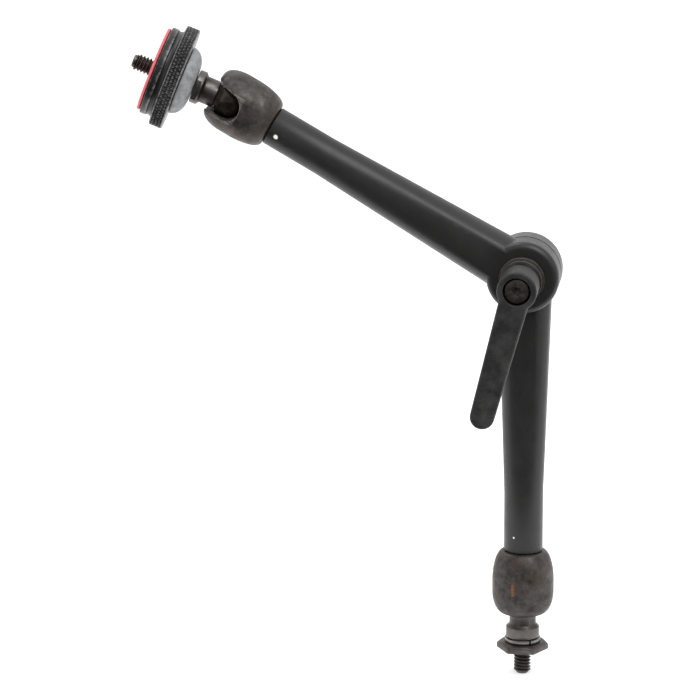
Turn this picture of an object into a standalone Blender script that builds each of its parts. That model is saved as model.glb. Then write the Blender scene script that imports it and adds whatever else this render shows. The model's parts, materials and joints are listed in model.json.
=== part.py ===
"""Articulated locking arm: two tapered arms on a lapped elbow, a ball cup at each outer end.

Frame: the origin lies on the lower stud's axis, in the plane of the jam nut's seat. +Z runs up the
lower arm, the elbow's axis lies along Y, and the clamping lever faces -Y. Lengths are millimetres
here and are turned into metres where a mesh is made.
"""
import math

import bmesh
import bpy
from mathutils import Matrix, Vector

MM = 0.001
GAP = 0.3               # space kept between faces that touch on the real object

# the two arms
ARM_LENGTH = 123.5      # ball centre to elbow axis
ARM_END_R = 7.2         # plain cylinder behind each cup
TAPER_START = 40.0      # distance from the ball centre where the cone begins
ARM_HUB_R = 9.75        # cone radius where it runs into the eye
FLAT_HALF = 8.2         # milled flats, from the arm's axis
MATE_OFFSET = 3.4       # arm's axis to the plane where the two eyes meet
EYE_R = 13.2
EYE_ROUND = 2.6         # rounding of the eye's outer edge
SHOULDER_R = 13.75      # hollow step beside the eye
ROD_BORE_R = 3.2
STUB_R = 5.6            # spigot inside the cup
STUB_START = 11.5
CUP_REAR = 17.6         # cup's rear rim, from the ball centre
CUP_FRONT = 6.3         # cup's lip, from the ball centre
CUP_RIM_R = 7.5
CUP_MAX_R = 11.45
SLOT_HALF = 5.4
SLOT_MOUTH_HALF = 6.4
SLOT_CENTRE = 0.4       # centre of the slot's round end
THROAT = 3.2            # narrowest place in front of the ball centre

# balls and studs
BALL_R = 7.0
SEAT_R = BALL_R + GAP
NECK_R = 4.95
COLLAR_ROUND_R = 6.2     # round collar of a stud
COLLAR_FLATS = 10.0      # across its two milled flats
FLARE_START = 10.2        # where the neck flares, from the ball centre
FLARE_END = 11.5
STUD_R = 3.175
STUD_PITCH = 1.27
SPIGOT_R = 2.9
LOWER_COLLAR_END = 15.9
LOWER_TIP = 30.2
UPPER_COLLAR_END = 13.7
UPPER_TIP = 37.7
WASHER_R = 6.7
WASHER_T = 1.2
NUT_FLATS = 16.8
NUT_T = 2.9
LOWER_BALL_Z = LOWER_COLLAR_END + GAP + WASHER_T + GAP + NUT_T

# camera head
DOME_R = 12.6
DOME_T = 4.8
WHEEL_R = 19.1
WHEEL_KNURL_T = 4.75
WHEEL_FLANGE_R = 16.5
WHEEL_T = 9.65
PAD_R = 15.6
PAD_T = 1.0

# elbow
HUB_BORE_R = 7.8
EYE_T = MATE_OFFSET + FLAT_HALF
BOLT_R = 3.0
BOLT_HEAD_R = 8.3
BOLT_HEAD_T = 3.0
DISC_R = 12.0
DISC_T = 0.8
DISC_RECESS = 0.55
WEDGE_R = 7.5
WEDGE_TIP_R = 5.4
COLLAR_R = 8.25
COLLAR_T = 2.2
FOOT_R = 7.6
FOOT_T = 2.3
NECK_TOP = 9.0          # insert's neck below the lever's boss
SHANK_R = 4.6
BOLT_REACH = 7.6        # bolt's end, in front of the front arm's flat
BOSS_R = 7.15
BOSS_TOP = 22.7         # boss's face, from the front arm's flat
LEVER_SHELF = 12.6
LEVER_SHELF_T = 1.6
SCREW_HEAD_R = 4.4
SCREW_HEAD_T = 2.2
SPRING_WIRE = 0.25      # radius
LEVER_REACH = 47.0      # elbow axis to the centre of the lever's round tip
LEVER_ROOT_HALF = 5.4
LEVER_TIP_R = 4.4
LEVER_T = 5.4

# pose
ELBOW_ANGLE = 120.0     # between the two arms
LEVER_ANGLE = 14.6      # lever off the vertical, towards the upper arm
STUD_LIFT = 22.6        # upper stud's rise above the horizontal
STUD_SPLAY = 5.3        # upper stud's lean towards the lever side
SLOT_ROLL = -4.0        # upper slot's turn about its arm

FINE = 36
MEDIUM = 24
SMALL = 16

HUB = Vector((0.0, -MATE_OFFSET, LOWER_BALL_Z + ARM_LENGTH))
FRONT_FLAT_Y = -2.0 * MATE_OFFSET - FLAT_HALF


def clear_scene():
    for obj in list(bpy.data.objects):
        bpy.data.objects.remove(obj, do_unlink=True)


def new_collection(name):
    collection = bpy.data.collections.new(name)
    bpy.context.scene.collection.children.link(collection)
    return collection


def material(name, colour, roughness, metallic):
    mat = bpy.data.materials.new(name)
    mat.use_nodes = True
    shader = mat.node_tree.nodes["Principled BSDF"]
    shader.inputs["Base Color"].default_value = (*colour, 1.0)
    shader.inputs["Roughness"].default_value = roughness
    shader.inputs["Metallic"].default_value = metallic
    mat.diffuse_color = (*colour, 1.0)
    return mat


def add_object(name, mesh, collection, parent=None, mat=None):
    obj = bpy.data.objects.new(name, mesh)
    collection.objects.link(obj)
    obj.parent = parent
    if mat:
        obj.data.materials.append(mat)
    return obj


def frame_at(name, location, matrix, parent=None):
    """An empty that carries the pieces of one joint."""
    empty = bpy.data.objects.new(name, None)
    parts.objects.link(empty)
    empty.parent = parent
    empty.matrix_local = Matrix.Translation(Vector(location) * MM) @ matrix.to_4x4()
    return empty


def arc(centre_r, centre_z, radius_r, radius_z, start, end, steps):
    """Points on an ellipse in the (radius, height) plane, angles in degrees from +radius."""
    points = []
    for i in range(steps + 1):
        a = math.radians(start + (end - start) * i / steps)
        points.append((centre_r + radius_r * math.cos(a), centre_z + radius_z * math.sin(a)))
    return points


def turned(name, profile, collection, parent=None, mat=None, steps=MEDIUM, ring=False):
    """A profile turned about local Z. It runs down the outer side; a ring's closes on itself."""
    bm = bmesh.new()
    verts = [bm.verts.new((r * MM, 0.0, z * MM)) for r, z in profile]
    for a, b in zip(verts, verts[1:]):
        bm.edges.new((a, b))
    if ring:
        bm.edges.new((verts[-1], verts[0]))
    mesh = bpy.data.meshes.new(name)
    bm.to_mesh(mesh)
    bm.free()
    obj = add_object(name, mesh, collection, parent, mat)
    screw = obj.modifiers.new("turn", "SCREW")
    screw.axis = "Z"
    screw.steps = steps
    screw.render_steps = steps
    screw.use_merge_vertices = True
    screw.merge_threshold = 0.00001
    screw.use_smooth_shade = True
    return obj


def prism(name, outline, low, high, collection, parent=None, mat=None, taper=None):
    """A flat outline in XY, extruded from low to high along local Z."""
    bm = bmesh.new()
    verts = [bm.verts.new((x * MM, y * MM, low * MM)) for x, y in outline]
    face = bm.faces.new(verts)
    top = bmesh.ops.extrude_face_region(bm, geom=[face])["geom"]
    moved = [v for v in top if isinstance(v, bmesh.types.BMVert)]
    bmesh.ops.translate(bm, verts=moved, vec=(0.0, 0.0, (high - low) * MM))
    if taper:
        for v in bm.verts:
            v.co.z += taper * abs(v.co.y)
    bmesh.ops.recalc_face_normals(bm, faces=bm.faces)
    mesh = bpy.data.meshes.new(name)
    bm.to_mesh(mesh)
    bm.free()
    return add_object(name, mesh, collection, parent, mat)


def block(name, low, high, parent):
    """A box between two corners, used as a cutter."""
    bm = bmesh.new()
    bmesh.ops.create_cube(bm, size=1.0)
    size = Vector(high) - Vector(low)
    middle = (Vector(high) + Vector(low)) / 2.0
    bmesh.ops.scale(bm, vec=size * MM, verts=bm.verts)
    bmesh.ops.translate(bm, vec=middle * MM, verts=bm.verts)
    mesh = bpy.data.meshes.new(name)
    bm.to_mesh(mesh)
    bm.free()
    return as_cutter(add_object(name, mesh, cutters, parent))


def rod_cutter(name, radius, low, high, parent, steps=MEDIUM):
    """A plain cylinder along local Z, used as a cutter."""
    return as_cutter(turned(name, [(0, high), (radius, high), (radius, low), (0, low)],
                            cutters, parent, steps=steps))


def as_cutter(obj):
    obj.hide_render = True
    obj.display_type = "WIRE"
    return obj


def boolean(obj, other, operation="DIFFERENCE"):
    mod = obj.modifiers.new(other.name, "BOOLEAN")
    mod.operation = operation
    mod.object = other


def hexagon(flats):
    corner = flats / 2.0 / math.cos(math.pi / 6.0)
    return [(corner * math.cos(math.radians(60 * i)), corner * math.sin(math.radians(60 * i)))
            for i in range(6)]


def cup_outline():
    """Barrel outline of a ball cup, from its rear rim to its lip, as (radius, height)."""
    swell = CUP_MAX_R - CUP_RIM_R
    rear_flank = arc(CUP_RIM_R, 6.0, swell, CUP_REAR - 6.0, 90, 0, 8)
    front_flank = arc(CUP_RIM_R, 2.0, swell, CUP_FRONT + 2.0, 0, -90, 8)
    return rear_flank + front_flank


def make_cup(name, frame, mat, slot_roll, label):
    """Cup with a ball seat, a flared mouth, a side slot for the neck and a bore for the arm."""
    throat_r = math.sqrt(SEAT_R ** 2 - THROAT ** 2)
    bore_r = STUB_R - 0.1
    seat_start = -math.degrees(math.asin(THROAT / SEAT_R))
    seat_end = math.degrees(math.acos(bore_r / SEAT_R))
    seat = arc(0, 0, SEAT_R, SEAT_R, seat_start, seat_end, 8)
    groove_r = STUB_R + 1.3
    profile = cup_outline() + [(throat_r, -THROAT)] + seat[1:]
    profile += [(bore_r, STUB_START - 0.3), (STUB_R + 0.35, STUB_START - 0.3),
                (STUB_R + 0.35, 13.4), (groove_r, 13.4), (groove_r, 14.9),
                (STUB_R + 0.35, 14.9), (STUB_R + 0.35, CUP_REAR)]
    cup = turned(name, profile, parts, frame, mat, FINE, ring=True)
    outline = [(SLOT_HALF * math.cos(math.radians(a)), SLOT_CENTRE + SLOT_HALF * math.sin(math.radians(a)))
               for a in range(0, 181, 15)]
    outline += [(-SLOT_MOUTH_HALF, -CUP_FRONT - 1.0), (SLOT_MOUTH_HALF, -CUP_FRONT - 1.0)]
    slot_frame = frame_at(label + "_slot_frame", (0, 0, 0),
                          Matrix.Rotation(math.radians(slot_roll), 3, "Z")
                          @ Matrix.Rotation(math.radians(90), 3, "X"), frame)
    slot = as_cutter(prism(label + "_slot_cutter", outline, 2.0, 14.0, cutters, slot_frame))
    boolean(cup, slot)
    return cup


def make_cup_ring(name, frame, mat, label):
    """Split spring ring that holds the cup on its arm and lets it turn."""
    inner, outer = STUB_R - 0.25, STUB_R + 1.0
    ring = turned(name, [(outer, 14.6), (outer, 13.7), (inner, 13.7), (inner, 14.6)],
                  parts, frame, mat, MEDIUM, ring=True)
    boolean(ring, block(label + "_ring_gap", (0.0, -1.0, 13.0), (9.0, 1.0, 15.2), frame))
    return ring


def make_arm(name, frame, mat, side, label):
    """One arm, seen from its ball: spigot, cylinder, cone, flats and a lapped eye.

    side is the sign of the eye's outer face along Y.
    """
    root_z = ARM_LENGTH - HUB_BORE_R - 0.4
    profile = [(0, root_z), (ARM_HUB_R, root_z), (ARM_END_R, TAPER_START),
               (ARM_END_R, CUP_REAR + GAP + 0.3), (ARM_END_R - 0.3, CUP_REAR + GAP),
               (STUB_R, CUP_REAR + GAP), (STUB_R, 14.9), (STUB_R - 0.6, 14.9),
               (STUB_R - 0.6, 13.4), (STUB_R, 13.4), (STUB_R, STUB_START), (0, STUB_START)]
    arm = turned(name, profile, parts, frame, mat, FINE)
    low = -MATE_OFFSET + GAP / 2.0
    hub_turn = Matrix.Rotation(math.radians(-90 * side), 3, "X")
    hub_frame = frame_at(label + "_eye_frame", (0, 0, ARM_LENGTH), hub_turn, frame)
    for sign, word in ((1, "outer"), (-1, "inner")):
        near, far = sorted((sign * side * FLAT_HALF, sign * side * 20.0))
        boolean(arm, block(label + "_flat_" + word, (-20, near, TAPER_START), (20, far, 150), frame))
    boolean(arm, rod_cutter(label + "_shoulder", SHOULDER_R, -20.0, low + 0.2, hub_frame, FINE))
    boolean(arm, rod_cutter(label + "_disc_recess", DISC_R + 0.5, -20.0, low + DISC_RECESS + 0.2,
                            hub_frame, FINE))
    eye_profile = arc(EYE_R - EYE_ROUND, FLAT_HALF - EYE_ROUND, EYE_ROUND, EYE_ROUND, 90, 0, 5)
    eye_profile += [(EYE_R, low), (DISC_R + GAP, low), (DISC_R + GAP, low + DISC_RECESS),
                    (HUB_BORE_R, low + DISC_RECESS), (HUB_BORE_R, FLAT_HALF)]
    eye = as_cutter(turned(label + "_eye", eye_profile, cutters, hub_frame, steps=FINE, ring=True))
    boolean(arm, eye, "UNION")
    boolean(arm, rod_cutter(label + "_rod_bore", ROD_BORE_R, 5.0, ARM_LENGTH - 2.0, frame, SMALL))
    return arm


def make_push_rod(name, frame, mat):
    """Rod down the arm's bore, domed where the elbow's wedge drives it."""
    top = ARM_LENGTH - 7.0
    radius = ROD_BORE_R - GAP
    profile = arc(0, top - 0.6, radius, 0.6, 90, 0, 4)
    profile += [(radius, STUB_START + 0.3), (radius - 0.3, STUB_START), (0, STUB_START)]
    return turned(name, profile, parts, frame, mat, SMALL)


def make_ball_pad(name, frame, mat):
    """Pad with a hollow face that the push rod presses on the ball."""
    radius = STUB_R - 0.4
    start = math.degrees(math.acos((radius - 0.2) / SEAT_R))
    hollow = arc(0, 0, SEAT_R, SEAT_R, start, 90, 5)
    rim = hollow[0][1]
    profile = [(0, STUB_START - GAP), (radius, STUB_START - GAP), (radius, rim)] + hollow
    return turned(name, profile, parts, frame, mat, SMALL)


def make_ball(name, frame, mat):
    """Ball with a socket for the stud's spigot; local +Z points out of the cup."""
    start = math.degrees(math.acos((SPIGOT_R + GAP) / BALL_R))
    profile = [(0, 1.0), (SPIGOT_R + GAP, 1.0)] + arc(0, 0, BALL_R, BALL_R, start, -90, 14)
    profile[-1] = (0, -BALL_R)
    return turned(name, profile, parts, frame, mat, MEDIUM)


def make_shank(name, frame, mat, collar_end, tip, label):
    """Neck, collar with two milled flats and stud in one, with a spigot into the ball."""
    cup_end = math.degrees(math.acos(SPIGOT_R / SEAT_R))
    cup_start = math.degrees(math.acos(NECK_R / SEAT_R))
    profile = [(0, tip), (STUD_R - 0.7, tip), (STUD_R, tip - 0.8), (STUD_R, collar_end),
               (COLLAR_ROUND_R - 0.4, collar_end), (COLLAR_ROUND_R, collar_end - 0.4),
               (COLLAR_ROUND_R, FLARE_END), (NECK_R, FLARE_START)]
    profile += arc(0, 0, SEAT_R, SEAT_R, cup_start, cup_end, 3)
    profile += [(SPIGOT_R, 1.0 + GAP), (0, 1.0 + GAP)]
    shank = turned(name, profile, parts, frame, mat, MEDIUM)
    for side in (-1, 1):
        low = min(side * COLLAR_FLATS / 2.0, side * 9.0)
        boolean(shank, block(label + "_mill", (-9.0, low, FLARE_END + 0.4),
                             (9.0, low + 9.0 - COLLAR_FLATS / 2.0, collar_end + 0.2), frame))
    return shank


def make_base(lower_ball_frame):
    """What the lower stud carries: split washer and jam nut."""
    washer_low = LOWER_COLLAR_END + GAP
    hole = STUD_R + GAP
    washer = turned("lower_lock_washer",
                    [(WASHER_R, washer_low), (hole, washer_low), (hole, washer_low + WASHER_T),
                     (WASHER_R, washer_low + WASHER_T)][::-1],
                    parts, lower_ball_frame, bright_steel, MEDIUM, ring=True)
    boolean(washer, block("washer_split", (3.0, -0.4, 10.0), (9.0, 0.4, 22.0), lower_ball_frame))
    nut_low = washer_low + WASHER_T + GAP
    corner = NUT_FLATS / 2.0 / math.cos(math.pi / 6.0)
    chamfer = corner - NUT_FLATS / 2.0
    nut = turned("lower_jam_nut",
                 [(corner - chamfer, nut_low + NUT_T), (corner, nut_low + NUT_T - chamfer * 0.55),
                  (corner, nut_low + chamfer * 0.55), (corner - chamfer, nut_low), (hole, nut_low),
                  (hole, nut_low + NUT_T)],
                 parts, lower_ball_frame, dark_steel, MEDIUM, ring=True)
    stock = as_cutter(prism("nut_stock", hexagon(NUT_FLATS), nut_low - 2.0, nut_low + NUT_T + 2.0,
                            cutters, lower_ball_frame))
    boolean(nut, stock, "INTERSECT")


def make_camera_head(frame):
    """Domed disc, knurled wheel and red washer on the upper stud."""
    hole = STUD_R + GAP
    dome_low = UPPER_COLLAR_END + GAP
    dome_high = dome_low + DOME_T
    back_r = 6.0
    dome = [(hole, dome_high), (DOME_R, dome_high)]
    dome += arc(back_r, dome_high, DOME_R - back_r, DOME_T, -10, -90, 7) + [(hole, dome_low)]
    turned("dome_disc", dome, parts, frame, zinc, FINE, ring=True)

    low = dome_high + GAP
    high = low + WHEEL_T
    knurl_top = low + WHEEL_KNURL_T
    wheel = [(hole, high), (WHEEL_FLANGE_R - 0.4, high), (WHEEL_FLANGE_R, high - 0.4),
             (WHEEL_FLANGE_R, high - 2.4)]
    wheel += arc(WHEEL_FLANGE_R + 1.2, knurl_top + 1.7, 1.7, 1.5, 165, 270, 5)
    wheel += [(WHEEL_R - 0.3, knurl_top + 0.2), (WHEEL_R, knurl_top - 0.2), (WHEEL_R, low + 0.4),
              (WHEEL_R - 0.4, low), (hole, low)]
    turned("thumbwheel", wheel, parts, frame, black_metal, FINE, ring=True)

    face = high + GAP
    turned("friction_washer",
           [(PAD_R, face + PAD_T), (PAD_R, face), (hole, face), (hole, face + PAD_T)],
           parts, frame, red_rubber, FINE, ring=True)


def make_elbow(front_frame, rear_frame):
    """Bolt, wedges and friction disc. Both frames look outwards from the mating plane."""
    disc_low = -DISC_T / 2.0
    turned("elbow_friction_disc",
           [(DISC_R, -disc_low), (DISC_R, disc_low), (HUB_BORE_R + GAP, disc_low),
            (HUB_BORE_R + GAP, -disc_low)],
           parts, rear_frame, friction_fibre, MEDIUM, ring=True)
    hole = BOLT_R + GAP
    for name, frame in (("front_wedge", front_frame), ("rear_wedge", rear_frame)):
        turned(name, [(WEDGE_R, EYE_T), (WEDGE_R, EYE_T - 3.5), (WEDGE_TIP_R, 0.5), (hole, 0.5),
                      (hole, EYE_T)],
               parts, frame, bright_steel, MEDIUM, ring=True)
    head_low = EYE_T + GAP
    bolt_end = -EYE_T - BOLT_REACH
    bolt = turned("pivot_bolt",
                  [(0, head_low + BOLT_HEAD_T - 1.8), (2.9, head_low + BOLT_HEAD_T - 1.8),
                   (3.1, head_low + BOLT_HEAD_T)]
                  + arc(BOLT_HEAD_R - 1.2, head_low + BOLT_HEAD_T - 1.2, 1.2, 1.2, 90, 0, 3)
                  + [(BOLT_HEAD_R, head_low), (BOLT_R, head_low), (BOLT_R, bolt_end + 0.6),
                     (BOLT_R - 0.6, bolt_end), (0, bolt_end)],
                  parts, rear_frame, dark_steel, MEDIUM)
    return bolt


def make_clamp(frame):
    """Thrust collar, threaded insert, lever, its spring and its screw; Z is off the front flat."""
    hole = BOLT_R + GAP
    turned("thrust_washer",
           [(COLLAR_R - 0.3, GAP + COLLAR_T), (COLLAR_R, GAP + COLLAR_T - 0.3), (COLLAR_R, GAP + 0.2),
            (COLLAR_R - 0.2, GAP), (hole, GAP), (hole, GAP + COLLAR_T)],
           parts, frame, bright_steel, MEDIUM, ring=True)
    foot_low = GAP + COLLAR_T + GAP
    foot_high = foot_low + FOOT_T
    shank_top = LEVER_SHELF - GAP
    screw_r = 1.9
    turned("clamp_insert",
           [(screw_r + GAP, shank_top), (SHANK_R, shank_top), (SHANK_R, NECK_TOP),
            (SHANK_R + 1.0, NECK_TOP), (SHANK_R + 1.0, foot_high), (FOOT_R - 0.3, foot_high),
            (FOOT_R, foot_high - 0.3), (FOOT_R, foot_low), (hole, foot_low), (hole, BOLT_REACH + GAP),
            (screw_r + GAP, BOLT_REACH + GAP)],
           parts, frame, dark_steel, MEDIUM, ring=True)

    boss_low = NECK_TOP + GAP
    shelf_top = LEVER_SHELF + LEVER_SHELF_T
    boss = [(0, BOSS_TOP)]
    boss += arc(BOSS_R - 0.9, BOSS_TOP - 0.9, 0.9, 0.9, 90, 0, 4)
    boss += [(BOSS_R, boss_low + 0.3), (BOSS_R - 0.3, boss_low), (0, boss_low)]
    lever = turned("lever", boss, parts, frame, black_powder, FINE)
    tip = [(LEVER_TIP_R * math.cos(math.radians(a)),
            -LEVER_REACH + LEVER_TIP_R * math.sin(math.radians(a))) for a in range(-180, 1, 15)]
    outline = [(LEVER_ROOT_HALF, 0.0), (-LEVER_ROOT_HALF, 0.0)] + tip
    handle = as_cutter(prism("lever_handle", outline, BOSS_TOP - 0.4 - LEVER_T, BOSS_TOP - 0.4,
                             cutters, frame, taper=0.05))
    edge = handle.modifiers.new("edge", "BEVEL")
    edge.width = 1.0 * MM
    edge.segments = 3
    edge.limit_method = "ANGLE"
    boolean(lever, handle, "UNION")
    boolean(lever, rod_cutter("lever_back_bore", SHANK_R + GAP, 0.0, LEVER_SHELF, frame))
    boolean(lever, rod_cutter("lever_front_bore", 5.0, shelf_top, 40.0, frame))
    boolean(lever, rod_cutter("lever_screw_bore", 2.6, 5.0, 40.0, frame, SMALL))

    head_top = BOSS_TOP - 1.0
    head_low = head_top - SCREW_HEAD_T
    screw_end = BOLT_REACH + 2.0 * GAP
    screw = turned("lever_screw",
                   [(0, head_top - 1.4), (1.45, head_top - 1.4), (1.6, head_top),
                    (SCREW_HEAD_R - 0.4, head_top), (SCREW_HEAD_R, head_top - 0.4),
                    (SCREW_HEAD_R, head_low), (screw_r, head_low),
                    (screw_r, screw_end + 0.4), (screw_r - 0.4, screw_end), (0, screw_end)],
                   parts, frame, dark_steel, SMALL)
    make_spring("lever_spring", frame, shelf_top + GAP + SPRING_WIRE, head_low - GAP - SPRING_WIRE)
    return screw


def make_spring(name, frame, low, high):
    """Light coil spring that draws the lever back into mesh."""
    coil_r, turns, per_turn = 3.6, 3, 12
    curve = bpy.data.curves.new(name, "CURVE")
    curve.dimensions = "3D"
    curve.bevel_depth = SPRING_WIRE * MM
    curve.bevel_resolution = 2
    curve.use_fill_caps = True
    spline = curve.splines.new("POLY")
    count = turns * per_turn + 1
    spline.points.add(count - 1)
    for i, point in enumerate(spline.points):
        a = 2.0 * math.pi * i / per_turn
        z = low + (high - low) * i / (count - 1)
        point.co = (coil_r * math.cos(a) * MM, coil_r * math.sin(a) * MM, z * MM, 1.0)
    return add_object(name, curve, parts, frame, bright_steel)


def upper_stud_matrix(arm_out):
    """Turn of the upper stud: local Z out along the stud, local X across the slot's plane."""
    lift, splay = math.radians(STUD_LIFT), math.radians(STUD_SPLAY)
    along = Vector((-math.cos(lift) * math.cos(splay), -math.sin(splay),
                    math.sin(lift) * math.cos(splay)))
    across = along.cross(slot_direction(arm_out)).normalized()
    return Matrix((across, along.cross(across), along)).transposed()


def slot_direction(arm_out):
    """Direction in which the upper slot opens: -Y, rolled about the arm."""
    return Matrix.Rotation(math.radians(SLOT_ROLL), 3, arm_out) @ Vector((0, -1, 0))


clear_scene()
parts = new_collection("locking_arm")
cutters = new_collection("cutters")

anodised = material("anodised_black", (0.025, 0.025, 0.027), 0.38, 0.6)
black_oxide = material("black_oxide_steel", (0.075, 0.066, 0.06), 0.45, 0.85)
dark_steel = material("dark_steel", (0.14, 0.12, 0.11), 0.4, 0.9)
bright_steel = material("bright_steel", (0.5, 0.49, 0.46), 0.35, 1.0)
ball_steel = material("ball_steel", (0.09, 0.07, 0.055), 0.28, 0.95)
zinc = material("blasted_zinc", (0.42, 0.43, 0.43), 0.6, 0.6)
black_metal = material("blackened_brass", (0.03, 0.03, 0.032), 0.4, 0.7)
red_rubber = material("red_friction_rubber", (0.7, 0.06, 0.07), 0.7, 0.0)
black_powder = material("black_powder_coat", (0.03, 0.03, 0.03), 0.6, 0.2)
friction_fibre = material("friction_fibre", (0.22, 0.17, 0.12), 0.8, 0.0)

upright = Matrix.Identity(3)
arm_turn = Matrix.Rotation(math.radians(ELBOW_ANGLE), 3, "Y")
arm_out = arm_turn @ Vector((0, 0, -1))
upper_hub = Vector((0, -2.0 * MATE_OFFSET, HUB.z))
upper_ball = upper_hub + arm_out * ARM_LENGTH

lower_frame = frame_at("lower_arm_frame", (0, 0, LOWER_BALL_Z), upright)
elbow_frame = frame_at("elbow_axis", upper_hub, arm_turn)
upper_frame = frame_at("upper_arm_frame", (0, 0, -ARM_LENGTH), upright, elbow_frame)
lower_stud_frame = frame_at("lower_ball_centre", (0, 0, LOWER_BALL_Z),
                            Matrix.Rotation(math.pi, 3, "X"))
upper_stud_frame = frame_at("upper_ball_centre", upper_ball, upper_stud_matrix(arm_out))

for label, frame, side, roll in (("lower", lower_frame, 1, 180.0), ("upper", upper_frame, -1, -SLOT_ROLL)):
    make_arm(label + "_arm", frame, anodised, side, label)
    make_push_rod(label + "_push_rod", frame, bright_steel)
    make_ball_pad(label + "_ball_pad", frame, dark_steel)
    make_cup(label + "_cup", frame, black_oxide, roll, label)
    make_cup_ring(label + "_cup_ring", frame, bright_steel, label)

make_ball("lower_ball", lower_stud_frame, ball_steel)
make_ball("upper_ball", upper_stud_frame, ball_steel)
make_shank("lower_stud_shank", lower_stud_frame, dark_steel, LOWER_COLLAR_END, LOWER_TIP, "lower")
make_shank("upper_stud_shank", upper_stud_frame, dark_steel, UPPER_COLLAR_END, UPPER_TIP, "upper")
make_base(lower_stud_frame)
make_camera_head(upper_stud_frame)

outward_front = Matrix.Rotation(math.radians(90), 3, "X")
outward_rear = Matrix.Rotation(math.radians(-90), 3, "X")
front_frame = frame_at("elbow_front", HUB, outward_front)
rear_frame = frame_at("elbow_rear", HUB, outward_rear)
make_elbow(front_frame, rear_frame)
clamp_frame = frame_at("clamp_axis", (0, FRONT_FLAT_Y, HUB.z),
                       outward_front @ Matrix.Rotation(math.radians(-LEVER_ANGLE), 3, "Z"))
make_clamp(clamp_frame)
bpy.context.view_layer.update()
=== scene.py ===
import json
import math

import bmesh
import bpy
from mathutils import Matrix, Vector


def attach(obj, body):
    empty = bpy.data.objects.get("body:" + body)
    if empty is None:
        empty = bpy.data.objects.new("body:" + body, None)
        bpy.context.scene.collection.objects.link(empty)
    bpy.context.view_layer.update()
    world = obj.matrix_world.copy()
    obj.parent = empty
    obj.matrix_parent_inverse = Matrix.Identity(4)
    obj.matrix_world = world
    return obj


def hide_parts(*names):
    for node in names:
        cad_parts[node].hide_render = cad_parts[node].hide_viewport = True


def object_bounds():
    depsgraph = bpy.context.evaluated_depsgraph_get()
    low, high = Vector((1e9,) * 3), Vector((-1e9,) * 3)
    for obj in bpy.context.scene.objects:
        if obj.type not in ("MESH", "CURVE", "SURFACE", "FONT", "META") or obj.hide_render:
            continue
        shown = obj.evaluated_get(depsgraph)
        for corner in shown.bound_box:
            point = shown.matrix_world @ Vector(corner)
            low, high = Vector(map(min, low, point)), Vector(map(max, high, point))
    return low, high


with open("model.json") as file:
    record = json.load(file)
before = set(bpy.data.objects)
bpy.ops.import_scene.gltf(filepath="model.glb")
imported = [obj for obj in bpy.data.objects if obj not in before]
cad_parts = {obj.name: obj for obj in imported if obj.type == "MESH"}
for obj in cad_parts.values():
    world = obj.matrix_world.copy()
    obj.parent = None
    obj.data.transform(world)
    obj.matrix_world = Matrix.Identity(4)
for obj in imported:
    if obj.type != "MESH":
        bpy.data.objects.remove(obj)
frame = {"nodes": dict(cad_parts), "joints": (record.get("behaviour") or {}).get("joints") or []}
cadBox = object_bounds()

# Looks of an articulated locking arm. Outlines are in millimetres in each piece's own space, and
# every piece is put in its place, in metres, with the frame's joints.

mm = 0.001
gap = 0.3      # what the solids keep between faces that touch

joints = {joint["name"]: joint for joint in frame["joints"]}


# places

def jointPoint(name):
    return Vector(joints[name]["pos_m"])


def jointAxis(name):
    return Vector(joints[name]["axis"])


def placeAt(origin, along, side):
    # local Z runs along, local Y points as nearly as it can to side
    z = Vector(along).normalized()
    x = Vector(side).cross(z).normalized()
    return Matrix.Translation(origin) @ Matrix((x, z.cross(x), z)).transposed().to_4x4()


angles = {"slotRoll": -4.0, "lever": 14.6}    # degrees

lowerBall = jointPoint("base_tilt")
upperBall = jointPoint("upper_tilt")
elbow = jointPoint("elbow")
armOut = jointAxis("upper_cup_swivel")
studOut = jointAxis("head_spin")
backwards = Vector((0.0, 1.0, 0.0))
upwards = Vector((0.0, 0.0, 1.0))
upperSlot = Matrix.Rotation(math.radians(angles["slotRoll"]), 3, armOut) @ -backwards

mateOffset = -elbow.y / 2.0 / mm              # arm's axis to the plane where the eyes meet
armLength = (elbow.z - lowerBall.z) / mm
leverDown = Matrix.Rotation(math.radians(angles["lever"]), 3, "Y") @ -upwards

lowerArmPlace = placeAt(lowerBall, upwards, backwards)
upperArmPlace = placeAt(upperBall, -armOut, backwards)
lowerCupPlace = placeAt(lowerBall, upwards, -backwards)
upperCupPlace = placeAt(upperBall, -armOut, -upperSlot)
lowerStudPlace = placeAt(lowerBall, -upwards, -backwards)
upperStudPlace = placeAt(upperBall, studOut, -upperSlot)
rearPlace = placeAt(elbow + backwards * mateOffset * mm, backwards, -upwards)
frontFlat = jointPoint("clamp_turn")
clampPlace = placeAt(frontFlat, -backwards, -leverDown)


# mesh tools

def arc(centreR, centreZ, radiusR, radiusZ, start, end, steps):
    # points on an ellipse in the (radius, height) plane, angles in degrees from +radius
    points = []
    for i in range(steps + 1):
        a = math.radians(start + (end - start) * i / steps)
        points.append((centreR + radiusR * math.cos(a), centreZ + radiusZ * math.sin(a)))
    return points


def softCorners(outline, cut, ring):
    # each sharp corner of an outline becomes a small three-point round
    straight = math.radians(155)
    softer = []
    for i, point in enumerate(outline):
        here = Vector(point)
        ends = not ring and i in (0, len(outline) - 1)
        before = Vector(outline[i - 1]) - here
        after = Vector(outline[(i + 1) % len(outline)]) - here
        if ends or here.x < cut or before.angle(after) > straight:
            softer.append(tuple(here))
            continue
        reach = min(cut, before.length * 0.4, after.length * 0.4)
        first = here + before.normalized() * reach
        last = here + after.normalized() * reach
        softer += [tuple(first), tuple((first + last) * 0.3 + here * 0.4), tuple(last)]
    return softer


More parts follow.
